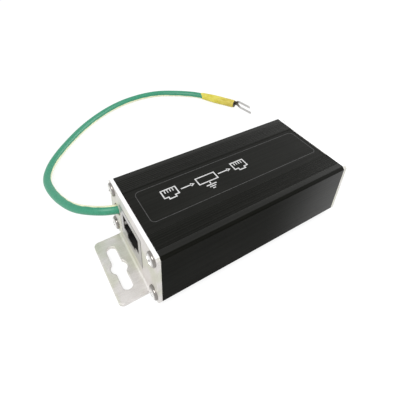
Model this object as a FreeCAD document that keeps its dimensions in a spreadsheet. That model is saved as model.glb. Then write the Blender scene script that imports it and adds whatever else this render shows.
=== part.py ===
import FreeCAD, Part
import Sketcher
import math
import os
import re

# A two-port network surge protector in a small extruded aluminium box.
# X runs from socket to socket, Y across the box, Z up. The origin lies under the middle of the box,
# in the plane on which the two mounting ears rest. All lengths are millimetres.

doc = FreeCAD.newDocument("NetworkSurgeProtector")
sheet = doc.addObject("Spreadsheet::Sheet", "Sizes")

SIZES = [
    # Extruded box
    ("housing_length", 72.0),
    ("housing_width", 35.7),
    ("housing_height", 21.4),
    ("wall", 1.3),
    ("edge_chamfer", 0.95),
    ("stand_off", 1.5),
    ("label_inset", 8.6),
    ("label_depth", 0.35),
    ("rim_width", 1.9),
    ("rib_pitch", 0.8),
    ("rib_count", 7),
    ("rib_width", 0.5),
    ("rib_depth", 0.11),
    ("port_inset", 2.9),
    ("port_rise", 2.6),
    ("boss_half", 2.15),
    ("rail_width", 3.4),
    ("rail_grip", 1.1),
    ("port_diameter", 2.3),
    ("port_slit", 0.8),
    # End plates and their mounting ears
    ("sheet_thickness", 1.2),
    ("bend_radius", 0.8),
    ("ear_width", 24.6),
    ("ear_reach", 11.0),
    ("ear_corner", 1.6),
    ("relief_width", 0.7),
    ("relief_above", 0.4),
    ("slot_from_housing", 6.6),
    ("slot_length", 17.4),
    ("slot_width", 3.3),
    ("slot_middle", 5.4),
    ("wire_hole", 4.4),
    ("wire_hole_y", 12.3),
    ("wire_hole_z", 13.35),
    ("screw_clearance", 2.9),
    # Pan head screws
    ("screw_head", 4.8),
    ("screw_head_height", 1.15),
    ("screw_crown", 0.6),
    ("screw_length", 8.0),
    ("thread_clearance", 0.05),
    ("recess_long", 2.6),
    ("recess_wide", 0.7),
    ("recess_depth", 0.8),
    # Circuit board and film under it
    ("board_thickness", 1.2),
    ("board_gap", 0.95),
    ("board_end_gap", 0.5),
    ("board_slack", 0.05),
    ("film_thickness", 0.2),
    ("tail_protrusion", 0.6),
    ("tail_hole_slack", 0.2),
    # Shielded eight-contact sockets
    ("jack_width", 15.9),
    ("jack_height", 13.3),
    ("jack_depth", 18.0),
    ("jack_offset", 1.35),
    ("jack_clearance", 0.45),
    ("shield_thickness", 0.25),
    ("part_gap", 0.05),
    ("mouth_width", 11.9),
    ("mouth_height", 6.7),
    ("mouth_above_board", 4.35),
    ("mouth_depth", 12.6),
    ("latch_width", 6.2),
    ("latch_height", 2.0),
    ("latch_depth", 10.5),
    ("moulding_depth", 13.6),
    ("peg_width", 1.6),
    ("peg_depth", 9.0),
    ("spring_height", 1.4),
    ("spring_length", 5.0),
    ("spring_above_mouth", 2.1),
    ("spring_root", 0.4),
    ("spring_crest", 2.4),
    ("spring_bulge", 0.6),
    ("contact_pitch", 1.016),
    ("contact_width", 0.45),
    ("contact_thickness", 0.3),
    ("contact_run_above", 0.6),
    ("contact_front", 2.9),
    ("contact_nose", 0.5),
    ("contact_slope_run", 5.6),
    ("contact_slope_drop", 3.1),
    ("contact_leg", 15.4),
    ("comb_slot", 0.66),
    ("comb_height", 1.15),
    # Gas discharge tubes
    ("tube_length", 7.6),
    ("tube_side", 5.0),
    ("tube_ceramic", 4.6),
    ("tube_rim", 0.9),
    ("tube_row_x", -4.1),
    ("part_spacing", 0.7),
    # Transient diodes and decoupling resistors
    ("diode_length", 4.6),
    ("diode_width", 3.6),
    ("diode_height", 2.2),
    ("diode_draft", 0.15),
    ("diode_lead", 2.0),
    ("lead_thickness", 0.2),
    ("lead_reach", 0.4),
    ("lead_foot", 1.0),
    ("diode_row_x", 7.5),
    ("resistor_length", 3.2),
    ("resistor_width", 1.6),
    ("resistor_height", 0.6),
    ("resistor_row_x", 14.6),
    # Earth wire with its sleeve and fork terminal
    ("wire_diameter", 3.2),
    ("core_diameter", 1.9),
    ("core_length", 4.0),
    ("solder_radius", 2.0),
    ("sleeve_length", 20.1),
    ("sleeve_radius", 2.1),
    ("sleeve_lap", 10.0),
    ("sleeve_taper", 3.0),
    ("sleeve_lip", 0.3),
    ("sleeve_edge", 0.12),
    ("sleeve_slack", 0.12),
    ("barrel_diameter", 3.4),
    ("fork_length", 10.0),
    ("fork_width", 6.7),
    ("fork_slot", 4.4),
    ("fork_neck", 3.0),
    ("fork_collar", 0.4),
    ("fork_throat", 2.2),
    ("fork_tip_corner", 0.4),
    ("fork_thickness", 0.7),
    ("fork_rise", 0.42),
    ("fork_bend_start", 1.6),
    ("fork_drop", 2.1),
    ("fork_roll", -62.0),
]
for row, (alias, number) in enumerate(SIZES, start=1):
    sheet.set("A%d" % row, alias)
    sheet.set("B%d" % row, str(number))
    sheet.setAlias("B%d" % row, alias)
doc.recompute()


def size(alias):
    """The number that a cell of the sheet holds."""
    return float(sheet.get(alias))


def cells(text):
    """An expression with each plain size name pointed at its cell of the sheet."""
    return re.sub(r"\b([a-z]+(?:_[a-z]+)*)\b", r"Sizes.\1", text)


# Levels and planes that several pieces share, as expressions of the sizes.
BOTTOM = "stand_off"
TOP = "(stand_off + housing_height)"
FLOOR = "(stand_off + wall)"
CEILING = "(stand_off + housing_height - wall)"
HALF_WIDTH = "(housing_width / 2)"
SIDE_WALL = "(housing_width / 2 - wall)"
END = "(housing_length / 2)"
FACE = "(housing_length / 2 + sheet_thickness)"
BEND_TOP = "(bend_radius + sheet_thickness)"
LABEL_EDGE = "(housing_width / 2 - label_inset)"
OUTER_RIB = "(housing_width / 2 - edge_chamfer - rim_width)"
SCREW_Y = "(housing_width / 2 - port_inset)"
SCREW_LOW = "(stand_off + port_rise)"
SCREW_HIGH = "(stand_off + housing_height - port_rise)"
BOARD_BOTTOM = "(stand_off + wall + board_gap)"
BOARD_TOP = "(stand_off + wall + board_gap + board_thickness)"
RAIL_FACE = "(housing_width / 2 - port_inset - rail_width)"
BOARD_SIDE = "(housing_width / 2 - port_inset - rail_width + rail_grip)"
JACK_TOP = "(stand_off + wall + board_gap + board_thickness + jack_height)"
MOUTH_LOW = "(stand_off + wall + board_gap + board_thickness + mouth_above_board)"
MOUTH_HIGH = "(stand_off + wall + board_gap + board_thickness + mouth_above_board + mouth_height)"
LATCH_LOW = "(stand_off + wall + board_gap + board_thickness + mouth_above_board - latch_height)"
MOULDING_TOP = "(%s - shield_thickness - part_gap)" % JACK_TOP
TAIL_LENGTH = "(board_thickness + tail_protrusion)"
CONTACTS = 8
FIRST_CONTACT = "(jack_offset - %g * contact_pitch)" % ((CONTACTS - 1) / 2)


def new_body(label):
    body = doc.addObject("PartDesign::Body", label)
    body.Label = label
    return body


def new_sketch(body, role, offset=None):
    """A sketch on one of the body's own origin planes, moved along the plane's normal by an expression."""
    sk = body.newObject("Sketcher::SketchObject", body.Name + "_sketch")
    plane = [f for f in body.Origin.OriginFeatures if f.Role == role][0]
    sk.AttachmentSupport = [(plane, "")]
    sk.MapMode = "FlatFace"
    if offset is not None:
        sk.setExpression("AttachmentOffset.Base.z", cells(offset))
    doc.recompute()
    return sk


def bind(sk, kind, geometry, point, expression):
    """Holds one coordinate of a sketch point, measured from the sketch's origin, to an expression."""
    number = float(sk.evalExpression(cells(expression)))
    index = sk.addConstraint(Sketcher.Constraint(kind, -1, 1, geometry, point, number))
    sk.setExpression("Constraints[%d]" % index, cells(expression))


def spot_at(sk, across, up):
    """The sketch point that a pair of expressions names."""
    return FreeCAD.Vector(float(sk.evalExpression(cells(across))), float(sk.evalExpression(cells(up))), 0)


def add_polygon(sk, corners):
    """A closed outline whose corners are pairs of expressions."""
    start = sk.GeometryCount
    spots = [spot_at(sk, across, up) for across, up in corners]
    count = len(spots)
    for i in range(count):
        sk.addGeometry(Part.LineSegment(spots[i], spots[(i + 1) % count]), False)
    for i in range(count):
        sk.addConstraint(Sketcher.Constraint("Coincident", start + i, 2, start + (i + 1) % count, 1))
    for i, (across, up) in enumerate(corners):
        bind(sk, "DistanceX", start + i, 1, across)
        bind(sk, "DistanceY", start + i, 1, up)


def add_box(sk, left, right, low, high):
    add_polygon(sk, [(left, low), (right, low), (right, high), (left, high)])


def add_circle(sk, across, up, diameter):
    centre = spot_at(sk, across, up)
    radius = float(sk.evalExpression(cells(diameter))) / 2
    index = sk.addGeometry(Part.Circle(centre, FreeCAD.Vector(0, 0, 1), radius), False)
    bind(sk, "DistanceX", index, 3, across)
    bind(sk, "DistanceY", index, 3, up)
    held = sk.addConstraint(Sketcher.Constraint("Diameter", index, 2 * radius))
    sk.setExpression("Constraints[%d]" % held, cells(diameter))


def mirrored(half):
    """The whole outline from the corners of its right half, listed from the bottom up."""
    return half + [("-(%s)" % across, up) for across, up in reversed(half)]


def finish_feature(body, feature, grows):
    """Recomputes, and makes sure that the feature changed the body's volume in the way it should."""
    before = body.Tip.Shape.Volume if body.Tip is not None and body.Tip is not feature else 0.0
    body.Tip = feature
    doc.recompute()
    after = feature.Shape.Volume
    if (grows and after <= before) or (not grows and before and after >= before - 1e-6):
        raise ValueError("%s of %s did nothing" % (feature.Name, body.Label))
    return feature


def add_pad(body, sk, length, way="One side", back=False):
    before = body.Tip
    pad = body.newObject("PartDesign::Pad", body.Name + "_pad")
    pad.Profile = sk
    pad.SideType = way
    pad.Reversed = back
    pad.setExpression("Length", cells(length))
    body.Tip = before
    return finish_feature(body, pad, True)


def add_pocket(body, sk, length=None, back=False):
    """A cut of the given length, or right through both ways where none is given."""
    before = body.Tip
    pocket = body.newObject("PartDesign::Pocket", body.Name + "_pocket")
    pocket.Profile = sk
    if length is None:
        pocket.Type = "ThroughAll"
        pocket.SideType = "Symmetric"
    else:
        pocket.Reversed = back
        pocket.setExpression("Length", cells(length))
    body.Tip = before
    return finish_feature(body, pocket, False)


def add_turned(body, sk, axis):
    turned = body.newObject("PartDesign::Revolution", body.Name + "_turned")
    turned.Profile = sk
    turned.ReferenceAxis = (sk, [axis])
    turned.Angle = 360
    return finish_feature(body, turned, True)


def add_row(body, original, sk, pitch, count, grows=False):
    """Repeats a feature along its sketch's horizontal axis, count times at the given pitch."""
    before = body.Tip
    row = body.newObject("PartDesign::LinearPattern", body.Name + "_row")
    row.Originals = [original]
    row.Direction = (sk, ["H_Axis"])
    row.setExpression("Length", cells("%s * (%s - 1)" % (pitch, count)))
    row.setExpression("Occurrences", cells(count))
    body.Tip = before
    return finish_feature(body, row, grows)


def edges_at(shape, test):
    """Names of the edges whose middle passes the test."""
    names = []
    for i, edge in enumerate(shape.Edges, start=1):
        middle = edge.valueAt((edge.FirstParameter + edge.LastParameter) / 2)
        if test(middle, edge):
            names.append("Edge%d" % i)
    return names


def add_fillet(body, test, radius):
    base = body.Tip
    fillet = body.newObject("PartDesign::Fillet", body.Name + "_fillet")
    fillet.Base = (base, edges_at(base.Shape, test))
    fillet.setExpression("Radius", cells(radius))
    body.Tip = base
    body.Tip = fillet
    doc.recompute()
    return fillet


def near(a, b):
    return abs(a - b) < 1e-4


def group(label, master, places):
    """One object that holds a copy of the master at each place: a turn and three expressions."""
    copies = []
    for turn, (x, y, z) in places:
        copy = doc.addObject("App::Link", label + "_copy")
        copy.LinkedObject = master
        copy.Placement = FreeCAD.Placement(FreeCAD.Vector(0, 0, 0), turn)
        copy.setExpression("Placement.Base.x", cells(x))
        copy.setExpression("Placement.Base.y", cells(y))
        copy.setExpression("Placement.Base.z", cells(z))
        copies.append(copy)
    whole = doc.addObject("Part::Compound", label)
    whole.Label = label
    whole.Links = copies
    return whole


NO_TURN = FreeCAD.Rotation()


# The box is one extrusion: chamfered long edges, a shallow channel along the top for the print,
# fine ribs beside it, four screw ports in the corners, and two rails that hold the board's edges.
def make_housing():
    body = new_body("housing")
    outline = new_sketch(body, "YZ_Plane")
    add_polygon(outline, mirrored([
        (HALF_WIDTH + " - edge_chamfer", BOTTOM),
        (HALF_WIDTH, BOTTOM + " + edge_chamfer"),
        (HALF_WIDTH, TOP + " - edge_chamfer"),
        (HALF_WIDTH + " - edge_chamfer", TOP),
        (LABEL_EDGE, TOP),
        (LABEL_EDGE + " - label_depth", TOP + " - label_depth"),
    ]))
    add_pad(body, outline, "housing_length", way="Symmetric")

    cavity = new_sketch(body, "YZ_Plane")
    add_polygon(cavity, mirrored([
        (RAIL_FACE, FLOOR),
        (RAIL_FACE, BOARD_BOTTOM + " - board_slack"),
        (BOARD_SIDE + " + board_slack", BOARD_BOTTOM + " - board_slack"),
        (BOARD_SIDE + " + board_slack", BOARD_TOP + " + board_slack"),
        (RAIL_FACE, BOARD_TOP + " + board_slack"),
        (RAIL_FACE, SCREW_LOW + " + boss_half"),
        (SIDE_WALL, SCREW_LOW + " + boss_half"),
        (SIDE_WALL, SCREW_HIGH + " - boss_half"),
        (SCREW_Y + " - boss_half", SCREW_HIGH + " - boss_half"),
        (SCREW_Y + " - boss_half", CEILING),
    ]))
    add_pocket(body, cavity)

    slits = new_sketch(body, "YZ_Plane")
    for side in ("1", "-1"):
        left = "%s * %s - port_slit / 2" % (side, SCREW_Y)
        right = "%s * %s + port_slit / 2" % (side, SCREW_Y)
        add_box(slits, left, right, SCREW_LOW, SCREW_LOW + " + boss_half + port_slit")
        add_box(slits, left, right, SCREW_HIGH + " - boss_half - port_slit", SCREW_HIGH)
    add_pocket(body, slits)

    ports = new_sketch(body, "YZ_Plane")
    for side in ("1", "-1"):
        for level in (SCREW_LOW, SCREW_HIGH):
            add_circle(ports, "%s * %s" % (side, SCREW_Y), level, "port_diameter")
    add_pocket(body, ports)

    for first in (OUTER_RIB + " - rib_pitch * (rib_count - 1)", "-" + OUTER_RIB):
        groove = new_sketch(body, "YZ_Plane")
        add_polygon(groove, [
            (first + " - rib_width / 2", TOP),
            (first, TOP + " - rib_depth"),
            (first + " + rib_width / 2", TOP),
            (first + " + rib_width / 2", TOP + " + rib_depth"),
            (first + " - rib_width / 2", TOP + " + rib_depth"),
        ])
        cut = add_pocket(body, groove)
        add_row(body, cut, groove, "rib_pitch", "rib_count")
    return body


# Each end plate is one piece of sheet. Its foot is folded outwards into an ear with a keyhole slot,
# and two narrow reliefs part the ear from the corners that the lower screws hold.
def make_end_plate(label, side, has_wire_hole):
    body = new_body(label)
    outline = new_sketch(body, "YZ_Plane", "%s * %s" % (side, END))
    add_polygon(outline, mirrored([
        ("ear_width / 2", BEND_TOP),
        ("ear_width / 2", BEND_TOP + " + relief_above"),
        ("ear_width / 2 + relief_width", BEND_TOP + " + relief_above"),
        ("ear_width / 2 + relief_width", BOTTOM),
        (HALF_WIDTH + " - edge_chamfer", BOTTOM),
        (HALF_WIDTH, BOTTOM + " + edge_chamfer"),
        (HALF_WIDTH, TOP + " - edge_chamfer"),
        (HALF_WIDTH + " - edge_chamfer", TOP),
    ]))
    add_pad(body, outline, "sheet_thickness", back=(side == "-1"))

    fold = new_sketch(body, "XZ_Plane")
    fold_top = BEND_TOP + " + relief_above"
    add_polygon(fold, [
        ("%s * %s" % (side, END), fold_top),
        ("%s * %s" % (side, END), "0"),
        ("%s * (%s + ear_reach)" % (side, END), "0"),
        ("%s * (%s + ear_reach)" % (side, END), "sheet_thickness"),
        ("%s * %s" % (side, FACE), "sheet_thickness"),
        ("%s * %s" % (side, FACE), fold_top),
    ])
    add_pad(body, fold, "ear_width", way="Symmetric")

    sign = float(side)
    end = sign * size("housing_length") / 2
    face = end + sign * size("sheet_thickness")
    tip = end + sign * size("ear_reach")
    add_fillet(body, lambda m, e: near(m.x, end) and near(m.z, 0), BEND_TOP)
    add_fillet(body, lambda m, e: near(m.x, face) and near(m.z, size("sheet_thickness")), "bend_radius")
    add_fillet(body, lambda m, e: near(m.x, tip) and near(abs(m.y), size("ear_width") / 2), "ear_corner")

    holes = new_sketch(body, "YZ_Plane")
    add_box(holes,
            "jack_offset - jack_width / 2 - jack_clearance",
            "jack_offset + jack_width / 2 + jack_clearance",
            BOARD_TOP + " - board_slack",
            JACK_TOP + " + jack_clearance")
    for across in ("1", "-1"):
        for level in (SCREW_LOW, SCREW_HIGH):
            add_circle(holes, "%s * %s" % (across, SCREW_Y), level, "screw_clearance")
    if has_wire_hole:
        add_circle(holes, "wire_hole_y", "wire_hole_z", "wire_hole")
    add_pocket(body, holes)

    middle = "%s * (%s + slot_from_housing)" % (side, END)
    slot = new_sketch(body, "XY_Plane")
    add_box(slot, middle + " - slot_width / 2", middle + " + slot_width / 2",
            "-(slot_length - slot_width) / 2", "(slot_length - slot_width) / 2")
    add_pocket(body, slot)
    slot_ends = new_sketch(body, "XY_Plane")
    add_circle(slot_ends, middle, "(slot_length - slot_width) / 2", "slot_width")
    add_circle(slot_ends, middle, "-(slot_length - slot_width) / 2", "slot_width")
    add_pocket(body, slot_ends)
    slot_round = new_sketch(body, "XY_Plane")
    add_circle(slot_round, middle, "0", "slot_middle")
    add_pocket(body, slot_round)
    return body


# A pan head screw stands on its tip, with its seat at Z = 0. Its crown is drawn as one broad bevel, and
# its shank at the thread's mean size.
def make_screw():
    body = new_body("pan_head_screw")
    shank = "(port_diameter / 2 - thread_clearance)"
    profile = new_sketch(body, "XZ_Plane")
    add_polygon(profile, [
        ("0", "-screw_length"),
        (shank, "-screw_length"),
        (shank, "0"),
        ("screw_head / 2", "0"),
        ("screw_head / 2", "screw_head_height - screw_crown"),
        ("screw_head / 2 - screw_crown", "screw_head_height"),
        ("0", "screw_head_height"),
    ])
    add_turned(body, profile, "V_Axis")
    cross = new_sketch(body, "XY_Plane", "screw_head_height")
    long_half = "recess_long / 2"
    wide_half = "recess_wide / 2"
    corners = []
    for a, b in (("", ""), ("-", ""), ("-", "-"), ("", "-")):
        arm = [(a + long_half, b + wide_half), (a + wide_half, b + wide_half), (a + wide_half, b + long_half)]
        corners.extend(arm if a == b else arm[::-1])
    add_polygon(cross, corners)
    add_pocket(body, cross, "recess_depth")
    return body


def make_plate_screws(label, screw, side):
    turn = FreeCAD.Rotation(FreeCAD.Vector(0, 0, 1), FreeCAD.Vector(float(side), 0, 0))
    places = []
    for across in ("1", "-1"):
        for level in (SCREW_LOW, SCREW_HIGH):
            places.append((turn, ("%s * %s" % (side, FACE), "%s * %s" % (across, SCREW_Y), level)))
    return group(label, screw, places)


# The board slides in the box's rails. It has a hole for each contact tail and each shield peg.
def make_board():
    body = new_body("circuit_board")
    plan = new_sketch(body, "XY_Plane", BOARD_BOTTOM)
    half_length = "(%s - board_end_gap)" % END
    add_box(plan, "-" + half_length, half_length, "-" + BOARD_SIDE, BOARD_SIDE)
    add_pad(body, plan, "board_thickness")
    for side in ("1", "-1"):
        tails = new_sketch(body, "XZ_Plane", "-(%s - contact_width / 2 - part_gap)" % FIRST_CONTACT)
        leg = "%s * (%s - contact_leg)" % (side, FACE)
        add_box(tails, leg + " - contact_thickness / 2 - tail_hole_slack / 2",
                leg + " + contact_thickness / 2 + tail_hole_slack / 2",
                BOARD_BOTTOM + " - part_gap", BOARD_TOP + " + part_gap")
        first = add_pocket(body, tails, "contact_width + 2 * part_gap")
        row = body.newObject("PartDesign::LinearPattern", "tail_row")
        row.Originals = [first]
        row.Direction = ([f for f in body.Origin.OriginFeatures if f.Role == "Y_Axis"][0], [""])
        row.setExpression("Length", cells("contact_pitch * %d" % (CONTACTS - 1)))
        row.Occurrences = CONTACTS
        body.Tip = first
        finish_feature(body, row, False)
    pegs = new_sketch(body, "XY_Plane", BOARD_BOTTOM)
    for side in ("1", "-1"):
        middle = "%s * (%s - peg_depth)" % (side, FACE)
        for across in ("1", "-1"):
            wall = "jack_offset + %s * (jack_width / 2 - shield_thickness / 2)" % across
            reach = "(shield_thickness / 2 + part_gap)"
            add_box(pegs, middle + " - peg_width / 2 - part_gap", middle + " + peg_width / 2 + part_gap",
                    wall + " - " + reach, wall + " + " + reach)
    add_pocket(body, pegs, "board_thickness", back=True)
    return body


def make_film():
    film = doc.addObject("Part::Box", "insulating_film")
    film.Label = "insulating_film"
    film.setExpression("Length", cells("housing_length - 2 * board_end_gap"))
    film.setExpression("Width", cells("2 * (%s - part_gap)" % RAIL_FACE))
    film.setExpression("Height", cells("film_thickness"))
    film.setExpression("Placement.Base.x", cells("-(housing_length / 2 - board_end_gap)"))
    film.setExpression("Placement.Base.y", cells("-(%s - part_gap)" % RAIL_FACE))
    film.setExpression("Placement.Base.z", cells(FLOOR))
    return film


def mouth_outline():
    """The socket's keyed opening: a wide mouth with the narrower latch slot below it."""
    wide = "mouth_width / 2"
    slim = "latch_width / 2"
    y = "jack_offset "
    return [
        (y + "- " + slim, LATCH_LOW), (y + "+ " + slim, LATCH_LOW),
        (y + "+ " + slim, MOUTH_LOW), (y + "+ " + wide, MOUTH_LOW),
        (y + "+ " + wide, MOUTH_HIGH), (y + "- " + wide, MOUTH_HIGH),
        (y + "- " + wide, MOUTH_LOW), (y + "- " + slim, MOUTH_LOW),
    ]


def depth(side, distance):
    """The X of a plane that lies a distance behind the socket's face."""
    return "%s * (%s - (%s))" % (side, FACE, distance)


# The shield is one folded sheet, open below, with two pegs into the board. A narrow spring is bent in
# from each side of the mouth, swells towards the plug and returns to the cheek.
def make_jack_shield(label, side):
    body = new_body(label)
    inward = side == "1"
    block = new_sketch(body, "YZ_Plane", depth(side, "0"))
    add_box(block, "jack_offset - jack_width / 2", "jack_offset + jack_width / 2", BOARD_TOP, JACK_TOP)
    add_pad(body, block, "jack_depth", back=inward)
    hollow = new_sketch(body, "XY_Plane", BOARD_TOP)
    inner_half = "(jack_width / 2 - shield_thickness)"
    add_box(hollow, depth(side, "shield_thickness"), depth(side, "jack_depth - shield_thickness"),
            "jack_offset - " + inner_half, "jack_offset + " + inner_half)
    add_pocket(body, hollow, "jack_height - shield_thickness", back=True)
    mouth = new_sketch(body, "YZ_Plane", depth(side, "0"))
    add_polygon(mouth, mouth_outline())
    add_pocket(body, mouth, "2 * shield_thickness", back=not inward)
    pegs = new_sketch(body, "XY_Plane", BOARD_TOP)
    springs = new_sketch(body, "XY_Plane", MOUTH_LOW + " + spring_above_mouth - spring_height / 2")
    middle = depth(side, "peg_depth")
    for across in ("1", "-1"):
        wall = "jack_offset + %s * (jack_width / 2 - shield_thickness / 2)" % across
        add_box(pegs, middle + " - peg_width / 2", middle + " + peg_width / 2",
                wall + " - shield_thickness / 2", wall + " + shield_thickness / 2")
        strip = [
            ("0", "0"), ("spring_root", "0"), ("spring_crest", "-spring_bulge"), ("spring_length", "0"),
            ("spring_length", "shield_thickness"), ("spring_crest", "shield_thickness - spring_bulge"),
            ("spring_root", "shield_thickness"), ("0", "shield_thickness"),
        ]
        edge = "jack_offset + %s * (mouth_width / 2 + %%s)" % across
        add_polygon(springs, [(depth(side, inside), edge % outward) for inside, outward in strip])
    add_pad(body, springs, "spring_height")
    add_pad(body, pegs, TAIL_LENGTH, back=True)
    return body


# The moulding fills the shield, with the keyed cavity in front and a comb of eight grooves in its roof.
def make_jack_moulding(label, side):
    body = new_body(label)
    inward = side == "1"
    front = "shield_thickness + part_gap"
    half = "(jack_width / 2 - shield_thickness - part_gap)"
    block = new_sketch(body, "YZ_Plane", depth(side, front))
    add_box(block, "jack_offset - " + half, "jack_offset + " + half, BOARD_TOP, MOULDING_TOP)
    add_pad(body, block, "moulding_depth - (%s)" % front, back=inward)
    mouth = new_sketch(body, "YZ_Plane", depth(side, front))
    add_box(mouth, "jack_offset - mouth_width / 2", "jack_offset + mouth_width / 2", MOUTH_LOW, MOUTH_HIGH)
    add_pocket(body, mouth, "mouth_depth - (%s)" % front, back=not inward)
    latch = new_sketch(body, "YZ_Plane", depth(side, front))
    add_box(latch, "jack_offset - latch_width / 2", "jack_offset + latch_width / 2",
            LATCH_LOW, MOUTH_LOW + " + part_gap")
    add_pocket(body, latch, "latch_depth - (%s)" % front, back=not inward)
    cheeks = new_sketch(body, "YZ_Plane", depth(side, front))
    for across in ("1", "-1"):
        cheek = "jack_offset + %s * (mouth_width / 2 + shield_thickness / 2)" % across
        reach = "(shield_thickness / 2 + part_gap)"
        add_box(cheeks, cheek + " - " + reach, cheek + " + " + reach,
                MOUTH_LOW + " + spring_above_mouth - spring_height / 2 - part_gap",
                MOUTH_LOW + " + spring_above_mouth + spring_height / 2 + part_gap")
    add_pocket(body, cheeks, "spring_length + part_gap", back=not inward)
    comb = new_sketch(body, "YZ_Plane", depth(side, "contact_front - contact_nose - 4 * part_gap"))
    add_box(comb, FIRST_CONTACT + " - comb_slot / 2", FIRST_CONTACT + " + comb_slot / 2",
            MOUTH_HIGH + " - part_gap", MOUTH_HIGH + " + comb_height")
    cut = add_pocket(body, comb, "moulding_depth", back=not inward)
    add_row(body, cut, comb, "contact_pitch", str(CONTACTS))
    return body


# The carrier closes the moulding's back and guides the eight contact legs down to the board.
def make_jack_carrier(label, side):
    body = new_body(label)
    inward = side == "1"
    block = new_sketch(body, "YZ_Plane", depth(side, "moulding_depth + part_gap"))
    add_box(block, "jack_offset - mouth_width / 2", "jack_offset + mouth_width / 2",
            BOARD_TOP, MOUTH_HIGH + " + comb_height")
    add_pad(body, block, "jack_depth - moulding_depth - shield_thickness - 2 * part_gap", back=inward)
    legs = new_sketch(body, "YZ_Plane", depth(side, "moulding_depth"))
    add_box(legs, FIRST_CONTACT + " - comb_slot / 2", FIRST_CONTACT + " + comb_slot / 2",
            BOARD_TOP + " - part_gap", MOUTH_HIGH + " + comb_height + part_gap")
    reach = "contact_leg - moulding_depth + contact_thickness / 2 + part_gap"
    cut = add_pocket(body, legs, reach, back=not inward)
    add_row(body, cut, legs, "contact_pitch", str(CONTACTS))
    return body


# One contact: tail and leg, a run forward over the cavity's roof, a tight turn, and the sprung slope.
def make_contact(label, side):
    body = new_body(label)
    level = "(%s + contact_run_above)" % MOUTH_HIGH
    half = "contact_thickness / 2"
    turn_low = "%s - contact_nose" % level
    low_end = "%s - contact_slope_drop" % turn_low
    profile = new_sketch(body, "XZ_Plane")
    add_polygon(profile, [
        (depth(side, "contact_leg + " + half), BOARD_TOP + " - " + TAIL_LENGTH),
        (depth(side, "contact_leg + " + half), level + " + " + half),
        (depth(side, "contact_front"), level + " + " + half),
        (depth(side, "contact_front - contact_nose"), level + " - " + half),
        (depth(side, "contact_front - contact_nose"), turn_low + " - contact_thickness"),
        (depth(side, "contact_front + contact_slope_run"), low_end + " - contact_thickness"),
        (depth(side, "contact_front + contact_slope_run + " + half), low_end),
        (depth(side, "contact_front"), turn_low),
        (depth(side, "contact_front"), level + " - " + half),
        (depth(side, "contact_leg - " + half), level + " - " + half),
        (depth(side, "contact_leg - " + half), BOARD_TOP + " - " + TAIL_LENGTH),
    ])
    add_pad(body, profile, "contact_width", way="Symmetric")
    return body


def make_jack_contacts(label, side):
    contact = make_contact(label + "_one", side)
    places = []
    for i in range(CONTACTS):
        places.append((NO_TURN, ("0", "%s + %d * contact_pitch" % (FIRST_CONTACT, i), "0")))
    return group(label, contact, places)


# A three-electrode gas discharge tube: a ceramic drum with a square metal flange at each end and in the
# middle, which stand on the board's pads. The four tubes lie two by two.
def make_tubes():
    body = new_body("discharge_tube")
    drum = new_sketch(body, "YZ_Plane")
    add_circle(drum, "0", "tube_side / 2", "tube_ceramic")
    add_pad(body, drum, "tube_length", way="Symmetric")
    for step in ("-1", "0", "1"):
        flange = new_sketch(body, "YZ_Plane", step + " * (tube_length - tube_rim) / 2")
        add_box(flange, "-tube_side / 2", "tube_side / 2", "0", "tube_side")
        add_pad(body, flange, "tube_rim", way="Symmetric")
    places = []
    for along in ("-1", "1"):
        for across in ("-1", "1"):
            places.append((NO_TURN, ("tube_row_x + %s * (tube_length + part_spacing) / 2" % along,
                                     "%s * (tube_side + part_spacing) / 2" % across, BOARD_TOP)))
    return group("gas_discharge_tubes", body, places)


# A surface-mounted transient diode: a moulded block, widest at its parting line, with two folded leads.
def make_diodes():
    body = new_body("transient_diode")
    half = "diode_length / 2"
    end = "(diode_length / 2 - diode_draft)"
    block = new_sketch(body, "XZ_Plane")
    add_polygon(block, [
        ("-" + end, "lead_thickness"), (end, "lead_thickness"), (half, "diode_height / 2"),
        (end, "diode_height"), ("-" + end, "diode_height"), ("-" + half, "diode_height / 2"),
    ])
    add_pad(body, block, "diode_width", way="Symmetric")
    leads = new_sketch(body, "XZ_Plane")
    foot = "(diode_length / 2 - lead_foot)"
    knee = "(diode_length / 2 + lead_reach)"
    for sign in ("1 * ", "-1 * "):
        add_polygon(leads, [
            (sign + foot, "0"), (sign + knee, "0"),
            (sign + knee, "diode_height / 2 + lead_thickness / 2"),
            (sign + end, "diode_height / 2 + lead_thickness / 2"),
            (sign + end, "diode_height / 2 - lead_thickness / 2"),
            (sign + "(%s - lead_thickness)" % knee, "diode_height / 2 - lead_thickness / 2"),
            (sign + "(%s - lead_thickness)" % knee, "lead_thickness"), (sign + foot, "lead_thickness"),
        ])
    add_pad(body, leads, "diode_lead", way="Symmetric")
    places = []
    for place in ("-1.5", "-0.5", "0.5", "1.5"):
        places.append((NO_TURN, ("diode_row_x", place + " * (diode_width + part_spacing)", BOARD_TOP)))
    return group("transient_diodes", body, places)


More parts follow.
